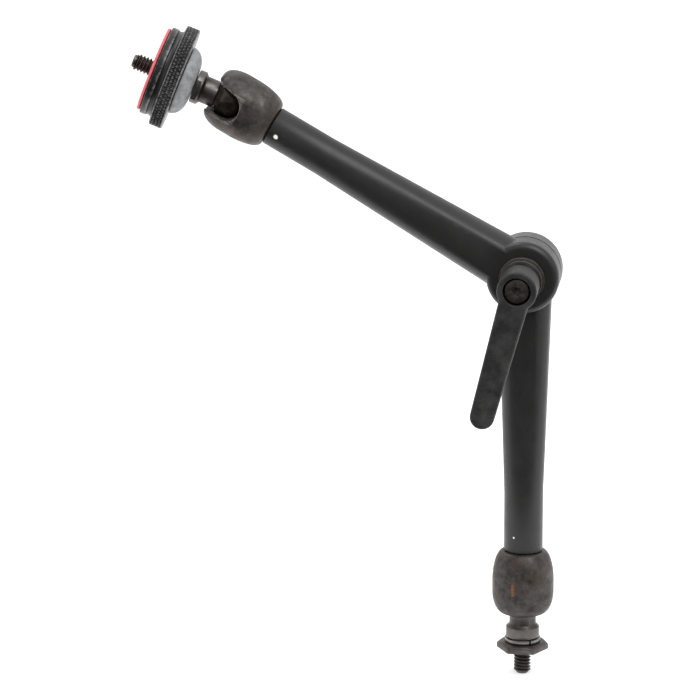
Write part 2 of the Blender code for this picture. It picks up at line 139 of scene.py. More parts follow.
def spun(outline, steps=96, ring=False, cut=0.2):
    # an outline turned about local Z
    if cut:
        outline = softCorners(outline, cut, ring)
    bm = bmesh.new()
    verts = [bm.verts.new((r, 0.0, z)) for r, z in outline]
    pairs = list(zip(verts, verts[1:]))
    if ring:
        pairs.append((verts[-1], verts[0]))
    for a, b in pairs:
        bm.edges.new((a, b))
    bmesh.ops.spin(bm, geom=bm.verts[:] + bm.edges[:], cent=(0, 0, 0), axis=(0, 0, 1),
                   angle=2.0 * math.pi, steps=steps, use_merge=True)
    bmesh.ops.remove_doubles(bm, verts=bm.verts, dist=0.0005)
    bmesh.ops.recalc_face_normals(bm, faces=bm.faces)
    return bm


def extruded(outline, low, high):
    # a flat outline in XY made a solid from low to high
    bm = bmesh.new()
    face = bm.faces.new([bm.verts.new((x, y, low)) for x, y in outline])
    top = bmesh.ops.extrude_face_region(bm, geom=[face])["geom"]
    bmesh.ops.translate(bm, verts=[v for v in top if isinstance(v, bmesh.types.BMVert)],
                        vec=(0, 0, high - low))
    bmesh.ops.recalc_face_normals(bm, faces=bm.faces)
    return bm


def boxed(low, high):
    bm = bmesh.new()
    bmesh.ops.create_cube(bm, size=1.0)
    low, high = Vector(low), Vector(high)
    bmesh.ops.scale(bm, vec=high - low, verts=bm.verts)
    bmesh.ops.translate(bm, vec=(high + low) / 2.0, verts=bm.verts)
    return bm


def turnedTo(bm, matrix):
    bmesh.ops.transform(bm, matrix=matrix, verts=bm.verts)
    return bm


def asObject(bm, name):
    mesh = bpy.data.meshes.new(name)
    bm.to_mesh(mesh)
    bm.free()
    obj = bpy.data.objects.new(name, mesh)
    bpy.context.scene.collection.objects.link(obj)
    return obj


def evaluated(obj):
    graph = bpy.context.evaluated_depsgraph_get()
    mesh = bpy.data.meshes.new_from_object(obj.evaluated_get(graph))
    bm = bmesh.new()
    bm.from_mesh(mesh)
    bpy.data.meshes.remove(mesh)
    old = obj.data
    bpy.data.objects.remove(obj)
    bpy.data.meshes.remove(old)
    return bm


def combined(bm, other, operation="DIFFERENCE"):
    target, tool = asObject(bm, "target"), asObject(other, "tool")
    modifier = target.modifiers.new("combine", "BOOLEAN")
    modifier.operation = operation
    modifier.object = tool
    result = evaluated(target)
    toolMesh = tool.data
    bpy.data.objects.remove(tool)
    bpy.data.meshes.remove(toolMesh)
    bmesh.ops.dissolve_degenerate(result, dist=0.0005, edges=result.edges)
    return result


def bevelled(bm, width, angle=35.0, segments=2):
    # rounds the edges that are sharper than angle
    obj = asObject(bm, "edged")
    modifier = obj.modifiers.new("edge", "BEVEL")
    modifier.width = width
    modifier.segments = segments
    modifier.limit_method = "ANGLE"
    modifier.angle_limit = math.radians(angle)
    modifier.use_clamp_overlap = False
    return evaluated(obj)


def sawnToHexagon(bm, flats):
    # six flats, with a corner on local X
    for i in range(6):
        a = math.radians(30 + 60 * i)
        out = Vector((math.cos(a), math.sin(a), 0.0))
        cutThrough(bm, out * flats / 2.0, out)
    return bm


def cutThrough(bm, point, out):
    # takes away what lies beyond a plane and closes the face
    made = bmesh.ops.bisect_plane(bm, geom=bm.verts[:] + bm.edges[:] + bm.faces[:], plane_co=point,
                                  plane_no=out, clear_outer=True, dist=0.0001)
    edges = [e for e in made["geom_cut"] if isinstance(e, bmesh.types.BMEdge)]
    bmesh.ops.holes_fill(bm, edges=edges)


def markWear(mesh, gentle=0.3, sharp=0.62):
    # attribute wear: 0 on smooth ground, 1 on a sharp outer edge
    bm = bmesh.new()
    bm.from_mesh(mesh)
    values = []
    for v in bm.verts:
        steepest = max((e.calc_face_angle(0.0) for e in v.link_edges if e.is_convex), default=0.0)
        values.append(min(max((steepest - gentle) / (sharp - gentle), 0.0), 1.0))
    bm.free()
    mesh.attributes.new("wear", "FLOAT", "POINT").data.foreach_set("value", values)


def finished(bm, place, name, body, node, finish, smooth=40.0):
    # puts a shape in its place and hands it to the frame as the look of one node
    bmesh.ops.transform(bm, matrix=place @ Matrix.Scale(mm, 4), verts=bm.verts)
    bmesh.ops.remove_doubles(bm, verts=bm.verts, dist=0.000001)
    bmesh.ops.recalc_face_normals(bm, faces=bm.faces)
    obj = asObject(bm, name)
    markWear(obj.data)
    obj.data.shade_smooth()
    obj.data.set_sharp_from_angle(angle=math.radians(smooth))
    obj.data.materials.append(finish)
    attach(obj, body)
    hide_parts(node)


# material tools

def newFinish(name, colour, roughness, metallic, specular=0.5):
    material = bpy.data.materials.new(name)
    material.use_nodes = True
    material.diffuse_color = (*colour, 1.0)
    tree = material.node_tree
    shader = tree.nodes["Principled BSDF"]
    shader.inputs["Base Color"].default_value = (*colour, 1.0)
    shader.inputs["Roughness"].default_value = roughness
    shader.inputs["Metallic"].default_value = metallic
    shader.inputs["Specular IOR Level"].default_value = specular
    return {"material": material, "nodes": tree.nodes, "links": tree.links, "shader": shader}


def coordinates(finish, place=None, stretch=(1, 1, 1)):
    # object coordinates in metres, or in the stretched space of a place
    source = finish["nodes"].new("ShaderNodeTexCoord").outputs["Object"]
    if place is None:
        return source
    turn = place.to_3x3().inverted()
    inner = finish["nodes"].new("ShaderNodeMapping")
    inner.inputs["Rotation"].default_value = turn.to_euler()
    inner.inputs["Location"].default_value = -(turn @ place.translation)
    finish["links"].new(source, inner.inputs["Vector"])
    stretched = finish["nodes"].new("ShaderNodeMapping")
    stretched.inputs["Scale"].default_value = stretch
    finish["links"].new(inner.outputs["Vector"], stretched.inputs["Vector"])
    return stretched.outputs["Vector"]


def noise(finish, scale, detail=3.0, roughness=0.55, place=None, stretch=(1, 1, 1)):
    node = finish["nodes"].new("ShaderNodeTexNoise")
    node.inputs["Scale"].default_value = scale
    node.inputs["Detail"].default_value = detail
    node.inputs["Roughness"].default_value = roughness
    finish["links"].new(coordinates(finish, place, stretch), node.inputs["Vector"])
    return node.outputs["Fac"]


def cells(finish, scale):
    node = finish["nodes"].new("ShaderNodeTexVoronoi")
    node.inputs["Scale"].default_value = scale
    finish["links"].new(coordinates(finish), node.inputs["Vector"])
    return node.outputs["Distance"]


def attribute(finish, name):
    node = finish["nodes"].new("ShaderNodeAttribute")
    node.attribute_name = name
    return node.outputs["Fac"]


def ramp(finish, factor, stops):
    # stops are (position, grey)
    node = finish["nodes"].new("ShaderNodeValToRGB")
    elements = node.color_ramp.elements
    while len(elements) < len(stops):
        elements.new(0.5)
    for element, (position, grey) in zip(elements, stops):
        element.position = position
        element.color = (grey, grey, grey, 1.0)
    finish["links"].new(factor, node.inputs["Fac"])
    return node.outputs["Color"]


def calculate(finish, operation, a, b):
    node = finish["nodes"].new("ShaderNodeMath")
    node.operation = operation
    for socket, value in zip(node.inputs, (a, b)):
        if isinstance(value, (int, float)):
            socket.default_value = value
        else:
            finish["links"].new(value, socket)
    return node.outputs["Value"]


def blended(finish, factor, a, b):
    # colour a where the factor is 0, colour b where it is 1
    node = finish["nodes"].new("ShaderNodeMix")
    node.data_type = "RGBA"
    for socket, value in ((node.inputs[0], factor), (node.inputs[6], a), (node.inputs[7], b)):
        if isinstance(value, tuple):
            socket.default_value = (*value, 1.0)
        else:
            finish["links"].new(value, socket)
    return node.outputs[2]


def spot(finish, centre, radius, ragged=0.5, grain=900.0):
    # 1 inside a ragged spot round a point, 0 outside
    source = finish["nodes"].new("ShaderNodeTexCoord").outputs["Object"]
    away = finish["nodes"].new("ShaderNodeVectorMath")
    away.operation = "DISTANCE"
    away.inputs[1].default_value = centre
    finish["links"].new(source, away.inputs[0])
    share = calculate(finish, "DIVIDE", away.outputs["Value"], radius)
    rough = calculate(finish, "MULTIPLY", noise(finish, grain, 4.0), ragged)
    total = calculate(finish, "ADD", share, rough)
    return ramp(finish, total, [(0.72, 1.0), (0.95, 0.0)])


def bump(finish, height, strength, distance):
    node = finish["nodes"].new("ShaderNodeBump")
    node.inputs["Strength"].default_value = strength
    node.inputs["Distance"].default_value = distance
    finish["links"].new(height, node.inputs["Height"])
    finish["links"].new(node.outputs["Normal"], finish["shader"].inputs["Normal"])


def drive(finish, socket, value):
    finish["links"].new(value, finish["shader"].inputs[socket])


# finishes

def anodisedFinish(name, place, chips):
    # satin black anodised aluminium, with faint turning marks, dust and paint chips
    tones = {"deep": (0.0095, 0.009, 0.0088), "grey": (0.018, 0.0172, 0.0168),
             "worn": (0.1, 0.1, 0.1), "chip": (0.75, 0.75, 0.73)}
    finish = newFinish(name, tones["deep"], 0.34, 0.0, 0.4)
    broad = noise(finish, 60.0, 4.0)
    colour = blended(finish, broad, tones["deep"], tones["grey"])
    dust = ramp(finish, noise(finish, 1400.0, 2.0), [(0.7, 0.0), (0.78, 0.3)])
    colour = blended(finish, dust, colour, tones["worn"])
    edge = ramp(finish, calculate(finish, "MULTIPLY", attribute(finish, "wear"),
                                  noise(finish, 500.0, 3.0)), [(0.35, 0.0), (0.6, 0.35)])
    colour = blended(finish, edge, colour, tones["worn"])
    for centre, radius in chips:
        colour = blended(finish, spot(finish, centre, radius), colour, tones["chip"])
    drive(finish, "Base Color", colour)
    drive(finish, "Roughness", ramp(finish, noise(finish, 240.0, 5.0), [(0.3, 0.33), (0.75, 0.43)]))
    turning = noise(finish, 1.0, 2.0, 0.5, place, (400.0, 400.0, 6000.0))
    bump(finish, turning, 0.12, 0.00003)
    return finish["material"]


def blackOxideFinish(name, rust):
    # worn black oxide on steel: mottled, lighter along edges, rust where it has been handled
    tones = {"dark": (0.018, 0.016, 0.015), "grey": (0.075, 0.066, 0.06),
             "brown": (0.055, 0.036, 0.026), "edge": (0.3, 0.27, 0.25), "rust": (0.2, 0.065, 0.02)}
    finish = newFinish(name, tones["dark"], 0.45, 0.5, 0.5)
    patches = ramp(finish, noise(finish, 260.0, 6.0, 0.65), [(0.38, 0.0), (0.66, 1.0)])
    colour = blended(finish, patches, tones["dark"], tones["grey"])
    brown = ramp(finish, noise(finish, 170.0, 5.0, 0.6), [(0.45, 0.0), (0.68, 0.8)])
    colour = blended(finish, brown, colour, tones["brown"])
    flecks = ramp(finish, noise(finish, 1500.0, 3.0, 0.6), [(0.68, 0.0), (0.8, 0.5)])
    colour = blended(finish, flecks, colour, tones["edge"])
    rubbed = calculate(finish, "MULTIPLY", attribute(finish, "wear"),
                       ramp(finish, noise(finish, 420.0, 4.0), [(0.3, 0.25), (0.65, 1.0)]))
    colour = blended(finish, rubbed, colour, tones["edge"])
    for centre, radius in rust:
        colour = blended(finish, spot(finish, centre, radius, 0.7, 350.0), colour, tones["rust"])
    drive(finish, "Base Color", colour)
    drive(finish, "Roughness", ramp(finish, noise(finish, 380.0, 5.0), [(0.3, 0.34), (0.7, 0.58)]))
    grain = calculate(finish, "ADD", noise(finish, 1100.0, 5.0), noise(finish, 300.0, 2.0))
    bump(finish, grain, 0.35, 0.00008)
    return finish["material"]


def turnedSteelFinish(name, place, tones, roughness):
    # turned steel with fine rings about its own axis
    finish = newFinish(name, tones["dark"], roughness, 0.9)
    rings = noise(finish, 1.0, 3.0, 0.7, place, (150.0, 150.0, 5200.0))
    stain = ramp(finish, noise(finish, 330.0, 5.0), [(0.35, 0.0), (0.7, 1.0)])
    colour = blended(finish, stain, tones["dark"], tones["light"])
    colour = blended(finish, ramp(finish, rings, [(0.4, 0.0), (0.7, 0.55)]), colour, tones["light"])
    rubbed = calculate(finish, "MULTIPLY", attribute(finish, "wear"), 0.8)
    colour = blended(finish, rubbed, colour, tones["edge"])
    drive(finish, "Base Color", colour)
    drive(finish, "Roughness", ramp(finish, noise(finish, 520.0, 4.0),
                                    [(0.3, roughness - 0.08), (0.7, roughness + 0.14)]))
    bump(finish, rings, 0.25, 0.00005)
    return finish["material"]


def ballFinish(name):
    # dark polished ball with a bronze cast
    tones = {"dark": (0.045, 0.038, 0.034), "bronze": (0.12, 0.085, 0.06)}
    finish = newFinish(name, tones["dark"], 0.2, 0.85)
    patches = ramp(finish, noise(finish, 300.0, 5.0), [(0.4, 0.0), (0.7, 0.75)])
    drive(finish, "Base Color", blended(finish, patches, tones["dark"], tones["bronze"]))
    drive(finish, "Roughness", ramp(finish, noise(finish, 700.0, 4.0), [(0.3, 0.14), (0.7, 0.34)]))
    bump(finish, noise(finish, 900.0, 4.0), 0.1, 0.00004)
    return finish["material"]


def blastedZincFinish(name):
    # pale grey blasted casting, slightly mottled
    tones = {"light": (0.33, 0.335, 0.34), "dark": (0.16, 0.163, 0.167)}
    finish = newFinish(name, tones["light"], 0.62, 0.25)
    patches = ramp(finish, noise(finish, 420.0, 6.0, 0.6), [(0.35, 0.0), (0.7, 1.0)])
    colour = blended(finish, patches, tones["light"], tones["dark"])
    drive(finish, "Base Color", colour)
    drive(finish, "Roughness", ramp(finish, noise(finish, 900.0, 3.0), [(0.3, 0.52), (0.7, 0.74)]))
    bump(finish, noise(finish, 2600.0, 3.0), 0.5, 0.00006)
    return finish["material"]


def blackWheelFinish(name):
    # blackened wheel, bright on the knurl's points: partly rubbed bare steel, partly a painted glint
    # on the crests
    tones = {"dark": (0.008, 0.008, 0.0085), "grey": (0.016, 0.016, 0.017),
             "rubbed": (0.26, 0.26, 0.26)}
    finish = newFinish(name, tones["dark"], 0.34, 0.3)
    colour = blended(finish, noise(finish, 200.0, 4.0), tones["dark"], tones["grey"])
    # the rubbed tone on the knurl's points is partly worn steel and partly a painted glint standing in
    # for the crests' highlights
    rubbed = ramp(finish, calculate(finish, "MULTIPLY", attribute(finish, "wear"),
                                    noise(finish, 800.0, 3.0)), [(0.3, 0.0), (0.62, 0.7)])
    drive(finish, "Base Color", blended(finish, rubbed, colour, tones["rubbed"]))
    drive(finish, "Roughness", ramp(finish, noise(finish, 600.0, 3.0), [(0.3, 0.28), (0.7, 0.42)]))
    bump(finish, noise(finish, 2400.0, 2.0), 0.12, 0.00003)
    return finish["material"]


def redWasherFinish(name):
    # matte coral red friction washer
    tones = {"deep": (0.62, 0.06, 0.08), "pale": (0.76, 0.2, 0.22)}
    finish = newFinish(name, tones["deep"], 0.7, 0.0, 0.4)
    colour = blended(finish, noise(finish, 500.0, 5.0), tones["deep"], tones["pale"])
    drive(finish, "Base Color", colour)
    drive(finish, "Roughness", ramp(finish, noise(finish, 900.0, 3.0), [(0.3, 0.6), (0.7, 0.82)]))
    bump(finish, noise(finish, 3200.0, 3.0), 0.4, 0.00005)
    return finish["material"]


def powderCoatFinish(name):
    # black wrinkled powder coat
    tones = {"dark": (0.014, 0.0135, 0.0135), "grey": (0.034, 0.032, 0.031),
             "rubbed": (0.07, 0.068, 0.065)}
    finish = newFinish(name, tones["dark"], 0.5, 0.0, 0.35)
    blotches = ramp(finish, noise(finish, 150.0, 5.0, 0.6), [(0.4, 0.0), (0.72, 1.0)])
    colour = blended(finish, blotches, tones["dark"], tones["grey"])
    rubbed = calculate(finish, "MULTIPLY", attribute(finish, "wear"), noise(finish, 400.0, 3.0))
    colour = blended(finish, ramp(finish, rubbed, [(0.35, 0.0), (0.7, 0.6)]), colour, tones["rubbed"])
    drive(finish, "Base Color", colour)
    drive(finish, "Roughness", ramp(finish, noise(finish, 300.0, 4.0), [(0.3, 0.4), (0.7, 0.6)]))
    wrinkle = calculate(finish, "ADD", noise(finish, 900.0, 4.0, 0.6), cells(finish, 1100.0))
    bump(finish, wrinkle, 0.55, 0.00016)
    return finish["material"]


def fibreFinish(name):
    # pressed brown fibre with dark flecks
    tones = {"light": (0.24, 0.17, 0.11), "dark": (0.09, 0.06, 0.04)}
    finish = newFinish(name, tones["light"], 0.85, 0.0)
    flecks = ramp(finish, noise(finish, 1300.0, 4.0, 0.7), [(0.45, 0.0), (0.65, 1.0)])
    drive(finish, "Base Color", blended(finish, flecks, tones["light"], tones["dark"]))
    bump(finish, noise(finish, 2000.0, 3.0), 0.5, 0.00006)
    return finish["material"]


brownSteel = {"dark": (0.024, 0.021, 0.0195), "light": (0.1, 0.091, 0.084), "edge": (0.15, 0.14, 0.13)}
paleSteel = {"dark": (0.07, 0.066, 0.06), "light": (0.22, 0.21, 0.195), "edge": (0.32, 0.31, 0.29)}


# the two arms

armShape = {"endR": 7.2, "taperStart": 40.0, "hubR": 9.75, "flatHalf": 8.2, "eyeR": 13.2,
            "eyeRound": 2.6, "shoulderR": 13.75, "boreR": 7.8, "stubR": 5.6, "stubStart": 11.5,
            "behindCup": 17.9, "hubGap": 0.4, "shoulderDepth": 20.0, "merge": 0.02, "edge": 0.22,
            "steps": 128, "chip": (1.6, -7.0, 21.4), "chipR": 1.4, "dot": (-3.0, -6.5, 24.0),
            "dotR": 0.6}


def armBody(side):
    # side is the sign of the eye's outer face along local Y
    a = armShape
    root = armLength - a["boreR"] - a["hubGap"]
    inner = -mateOffset + gap / 2.0
    body = spun([(0, root), (a["hubR"], root), (a["endR"], a["taperStart"]),
                 (a["endR"], a["behindCup"]), (a["stubR"], a["behindCup"]),
                 (a["stubR"], a["stubStart"]), (0, a["stubStart"])], a["steps"], cut=0.3)
    for sign in (1, -1):
        cutThrough(body, (0, sign * a["flatHalf"], 0), (0, sign, 0))
    outward = Matrix.Rotation(math.radians(-90 * side), 4, "X")
    outward = Matrix.Translation((0, 0, armLength)) @ outward
    # room for the other arm's eye
    shoulderTop = inner + 0.2
    shoulder = spun([(0, shoulderTop), (a["shoulderR"], shoulderTop),
                     (a["shoulderR"], -a["shoulderDepth"]), (0, -a["shoulderDepth"])],
                    a["steps"], cut=0)
    body = combined(body, turnedTo(shoulder, outward))
    soft = a["eyeRound"]
    ring = arc(a["eyeR"] - soft, a["flatHalf"] - soft, soft, soft, 90, 0, 12)
    ring += [(a["eyeR"], inner), (a["boreR"], inner), (a["boreR"], a["flatHalf"])]
    eye = spun(ring, a["steps"], ring=True, cut=0.15)
    body = combined(body, turnedTo(eye, outward), "UNION")
    bmesh.ops.remove_doubles(body, verts=body.verts, dist=a["merge"])
    return bevelled(body, a["edge"])


def makeArms():
    a = armShape
    for label, side, place, mark in (("lower", 1, lowerArmPlace, "dot"),
                                     ("upper", -1, upperArmPlace, "chip")):
        chips = [(place @ (Vector(a[mark]) * mm), a[mark + "R"] * mm)]
        finish = anodisedFinish(label + "ArmAnodised", place, chips)
        finished(armBody(side), place, label + "ArmShell", label + "_arm", label + "_arm", finish)
    print("arms made")


# ball cups

cupShape = {"rear": 17.6, "front": 6.3, "rimR": 7.5, "maxR": 11.45, "seatR": 7.3, "throat": 3.2,
            "boreR": 5.95, "boreStep": 0.4, "seatEnd": 11.2, "rearRound": 6.0, "frontRound": 2.0,
            "slotHalf": 5.4, "mouthHalf": 6.4, "slotCentre": 0.4, "slotFrom": 2.0, "slotTo": 14.0,
            "edge": 0.3, "steps": 128, "rust": (-2.9, -11.0), "rustHeights": (6.6, 5.4, 4.2, 3.2),
            "rustR": 1.1}


def cupBody():
    c = cupShape
    swell = c["maxR"] - c["rimR"]
    outline = arc(c["rimR"], c["rearRound"], swell, c["rear"] - c["rearRound"], 90, 0, 16)
    outline += arc(c["rimR"], c["frontRound"], swell, c["front"] + c["frontRound"], 0, -90, 16)
    throatR = math.sqrt(c["seatR"] ** 2 - c["throat"] ** 2)
    start = -math.degrees(math.asin(c["throat"] / c["seatR"]))
    step = c["boreR"] - c["boreStep"]
    end = math.degrees(math.acos(step / c["seatR"]))
    outline += [(throatR, -c["throat"])] + arc(0, 0, c["seatR"], c["seatR"], start, end, 12)[1:]
    outline += [(step, c["seatEnd"]), (c["boreR"], c["seatEnd"]), (c["boreR"], c["rear"])]
    body = spun(outline, c["steps"], ring=True, cut=0.25)
    slot = arc(0, c["slotCentre"], c["slotHalf"], c["slotHalf"], 0, 180, 36)
    slot += [(-c["mouthHalf"], -c["front"] - 1.0), (c["mouthHalf"], -c["front"] - 1.0)]
    cutter = extruded(slot, c["slotFrom"], c["slotTo"])
    body = combined(body, turnedTo(cutter, Matrix.Rotation(math.radians(90), 4, "X")))
    return bevelled(body, c["edge"])


def makeCups():
    c = cupShape
    rust = [(lowerBall + Vector((*c["rust"], high)) * mm, c["rustR"] * mm)
            for high in c["rustHeights"]]
    for label, place, patches in (("lower", lowerCupPlace, rust), ("upper", upperCupPlace, [])):
        finish = blackOxideFinish(label + "CupOxide", patches)
        finished(cupBody(), place, label + "CupShell", label + "_cup", label + "_cup", finish)
    print("ball cups made")


# balls and studs

studShape = {"ballR": 7.0, "seatR": 7.3, "neckR": 4.95, "collarFlats": 9.9, "collarR": 6.2,
             "studR": 3.175, "rootR": 2.42, "pitch": 1.27, "spigotR": 2.9, "steps": 96,
             "rowsPerTurn": 12, "crestGain": 2.6, "crestLoss": 0.18, "tipR": 2.35, "tipT": 1.2,
             "tipChamfer": 0.4, "socketEnd": 1.0, "millReach": 9.0,
             "lower": {"flare": 10.8, "full": 12.0, "ledge": 12.4, "collarEnd": 15.9, "tip": 30.2},
             "upper": {"flare": 10.2, "full": 11.2, "ledge": 11.6, "collarEnd": 13.7, "tip": 37.7}}


def ballBody():
    s = studShape
    hole = s["spigotR"] + gap
    start = math.degrees(math.acos(hole / s["ballR"]))
    outline = [(0, s["socketEnd"]), (hole, s["socketEnd"])]
    outline += arc(0, 0, s["ballR"], s["ballR"], start, -90, 40)[:-1]
    return spun(outline + [(0, -s["ballR"])], 80, cut=0)


def cutThread(bm, low, high):
    # moves the fine rows of a plain rod in and out along the helix
    s = studShape
    depth = s["studR"] - s["rootR"]
    for v in bm.verts:
        radius = math.hypot(v.co.x, v.co.y)
        if abs(radius - s["studR"]) > 0.01 or not low < v.co.z < high:
            continue
        turn = math.atan2(v.co.y, v.co.x) / (2.0 * math.pi)
        phase = (v.co.z / s["pitch"] + turn) % 1.0
        crest = min(1.0, max(0.0, abs(phase - 0.5) * s["crestGain"] - s["crestLoss"]))
        grown = s["rootR"] + depth * crest
        v.co.x *= grown / radius
        v.co.y *= grown / radius


def shankBody(end):
    # neck, flared collar with two milled flats, and stud, in one
    s = studShape
    chamfer, socket, reach = s["tipChamfer"], s["socketEnd"] + gap, s["millReach"]
    rows = int((end["tip"] - end["collarEnd"] - s["tipT"]) / s["pitch"] * s["rowsPerTurn"])
    threadEnd = end["tip"] - s["tipT"]
    outline = [(0, end["tip"]), (s["tipR"] - chamfer, end["tip"]),
               (s["tipR"], end["tip"] - chamfer), (s["tipR"], threadEnd + 0.15)]
    outline += [(s["studR"], threadEnd + (end["collarEnd"] - threadEnd) * i / rows)
                for i in range(rows)]
    outline += [(s["collarR"] - 0.5, end["collarEnd"]), (s["collarR"], end["collarEnd"] - 0.3),
                (s["collarR"], end["full"]), (s["collarR"] - 0.15, end["full"] - 0.2),
                (s["neckR"] + 0.15, end["flare"] + 0.1), (s["neckR"], end["flare"] - 0.3)]
    near = math.degrees(math.acos(s["neckR"] / s["seatR"]))
    far = math.degrees(math.acos(s["spigotR"] / s["seatR"]))
    outline += arc(0, 0, s["seatR"], s["seatR"], near, far, 6)
    outline += [(s["spigotR"], socket), (0, socket)]
    body = spun(outline, s["steps"], cut=0)
    flat = s["collarFlats"] / 2.0
    for low, high in ((-reach, -flat), (flat, reach)):
        mill = boxed((-reach, low, end["ledge"]), (reach, high, end["collarEnd"] + 0.2))
        body = combined(body, mill)
    cutThread(body, end["collarEnd"] + 0.3, threadEnd)
    return body


def makeStuds():
    ball = ballFinish("ballSteel")
    for label, place, studBodyName, ballBodyName in (
            ("lower", lowerStudPlace, "base_stud", "base_ball"),
            ("upper", upperStudPlace, "head_stud", "head_ball")):
        steel = turnedSteelFinish(label + "StudSteel", place, brownSteel, 0.36)
        finished(ballBody(), place, label + "BallPolished", ballBodyName, label + "_ball", ball)
        finished(shankBody(studShape[label]), place, label + "StudThreaded", studBodyName,
                 label + "_stud_shank", steel)
    print("balls and studs made")


# washer and nut under the lower cup

baseShape = {"washerR": 6.7, "washerT": 1.2, "holeR": 3.475, "nutFlats": 16.8, "nutT": 2.9,
             "nutLandR": 7.75, "nutChamfer": 30.0, "nutEdge": 0.2, "holeEdge": 0.5, "split": 0.8,
             "splitAt": 60}


def makeBase():
    b = baseShape
    low = studShape["lower"]["collarEnd"] + gap
    washer = spun([(b["washerR"], low + b["washerT"]), (b["washerR"], low), (b["holeR"], low),
                   (b["holeR"], low + b["washerT"])], 72, ring=True, cut=0.18)
    slit = boxed((3.0, -b["split"] / 2, low - 1), (9.0, b["split"] / 2, low + 3))
    washer = combined(washer, turnedTo(slit, Matrix.Rotation(math.radians(b["splitAt"]), 4, "Z")))
    finished(washer, lowerStudPlace, "splitWasher", "lock_washer", "lower_lock_washer",
             turnedSteelFinish("washerSteel", lowerStudPlace, paleSteel, 0.38))
    low += b["washerT"] + gap
    high = low + b["nutT"]
    corner = b["nutFlats"] / 2.0 / math.cos(math.pi / 6.0)
    drop = (corner - b["nutLandR"]) * math.tan(math.radians(b["nutChamfer"]))
    edge, mouth = b["nutEdge"], b["holeEdge"]
    nut = spun([(corner - edge, high), (corner, high - edge), (corner, low + drop),
                (b["nutLandR"], low), (b["holeR"] + mouth, low), (b["holeR"], low + mouth),
                (b["holeR"], high - mouth), (b["holeR"] + mouth, high)], 144, ring=True, cut=0)
    nut = bevelled(sawnToHexagon(nut, b["nutFlats"]), 0.14, 24.0)
    finished(nut, lowerStudPlace, "thinJamNut", "jam_nut", "lower_jam_nut",
             turnedSteelFinish("nutSteel", lowerStudPlace, brownSteel, 0.4))
    print("washer and nut made")


# camera head

headShape = {"holeR": 3.475, "domeR": 12.6, "domeT": 4.8, "domeBackR": 6.0, "wheelR": 19.1,
             "knurlT": 4.75, "flangeR": 16.5, "wheelT": 9.65, "padR": 15.6, "padT": 1.0,
             "waistIn": 0.45, "waistOut": 1.2, "waistRise": 1.7, "waistHalf": 1.5, "lipT": 2.4,
             "ridges": 83, "ridgeSteps": 8, "ridgeDepth": 0.5, "ridgeRise": 2.5, "ridgeSlope": 1.35,
             "fade": 0.25, "leastFade": 0.15, "rows": 24}


def wheelBody(low):
    # a turned wheel with a diamond knurl pressed into its rim
    h = headShape
    high, knurlTop = low + h["wheelT"], low + h["knurlT"]
    waistR, waistCentreR = h["flangeR"] - h["waistIn"], h["flangeR"] + h["waistOut"]
    outline = [(h["holeR"], high), (h["flangeR"] - 0.5, high), (h["flangeR"] - 0.12, high - 0.15),
               (h["flangeR"], high - 0.5), (h["flangeR"], high - h["lipT"])]
    outline += arc(waistCentreR, knurlTop + h["waistRise"], waistCentreR - waistR, h["waistHalf"],
                   165, 270, 8)
    knurlLow, knurlHigh = low + 0.35, knurlTop - 0.1
    outline += [(h["wheelR"] - 0.35, knurlTop + 0.2)]
    outline += [(h["wheelR"], knurlHigh + (knurlLow - knurlHigh) * i / h["rows"])
                for i in range(h["rows"] + 1)]
    outline += [(h["wheelR"] - 0.4, low), (h["holeR"], low)]
    bm = spun(outline, h["ridges"] * h["ridgeSteps"], ring=True, cut=0)
    for v in bm.verts:
        radius = math.hypot(v.co.x, v.co.y)
        if radius < h["wheelR"] - 0.01:
            continue
        around = math.atan2(v.co.y, v.co.x) / (2.0 * math.pi) * h["ridges"]
        along = (v.co.z - low) / h["ridgeRise"]
        slopes = [abs((around + sign * along) % 1.0 - 0.5) * 2.0 for sign in (1, -1)]
        height = min(1.0, h["ridgeSlope"] * min(1.0 - slope for slope in slopes))
        fade = min(1.0, (knurlHigh - v.co.z) / h["fade"], (v.co.z - knurlLow) / h["fade"])
        sunk = h["ridgeDepth"] * (1.0 - height) * max(fade, h["leastFade"])
        v.co.x *= (radius - sunk) / radius
        v.co.y *= (radius - sunk) / radius
    return bm


def makeHead():
    h = headShape
    domeLow = studShape["upper"]["collarEnd"] + gap
    domeHigh = domeLow + h["domeT"]
    outline = [(h["holeR"], domeHigh), (h["domeR"], domeHigh), (h["domeR"], domeHigh - 0.6)]
    outline += arc(h["domeBackR"], domeHigh, h["domeR"] - h["domeBackR"], h["domeT"], -12, -90, 20)
    dome = spun(outline + [(h["holeR"], domeLow)], 128, ring=True, cut=0.25)
    finished(dome, upperStudPlace, "domedDisc", "head_stud", "dome_disc",
             blastedZincFinish("blastedZinc"))
    wheelLow = domeHigh + gap
    finished(wheelBody(wheelLow), upperStudPlace, "knurledWheel", "thumbwheel", "thumbwheel",
             blackWheelFinish("blackenedWheel"), 30.0)
    face = wheelLow + h["wheelT"] + gap
    pad = spun([(h["padR"], face + h["padT"]), (h["padR"], face), (h["holeR"], face),
                (h["holeR"], face + h["padT"])], 128, ring=True, cut=0.25)
    finished(pad, upperStudPlace, "redFrictionWasher", "friction_washer", "friction_washer",
             redWasherFinish("coralRed"))
    print("camera head made")


# elbow clamp

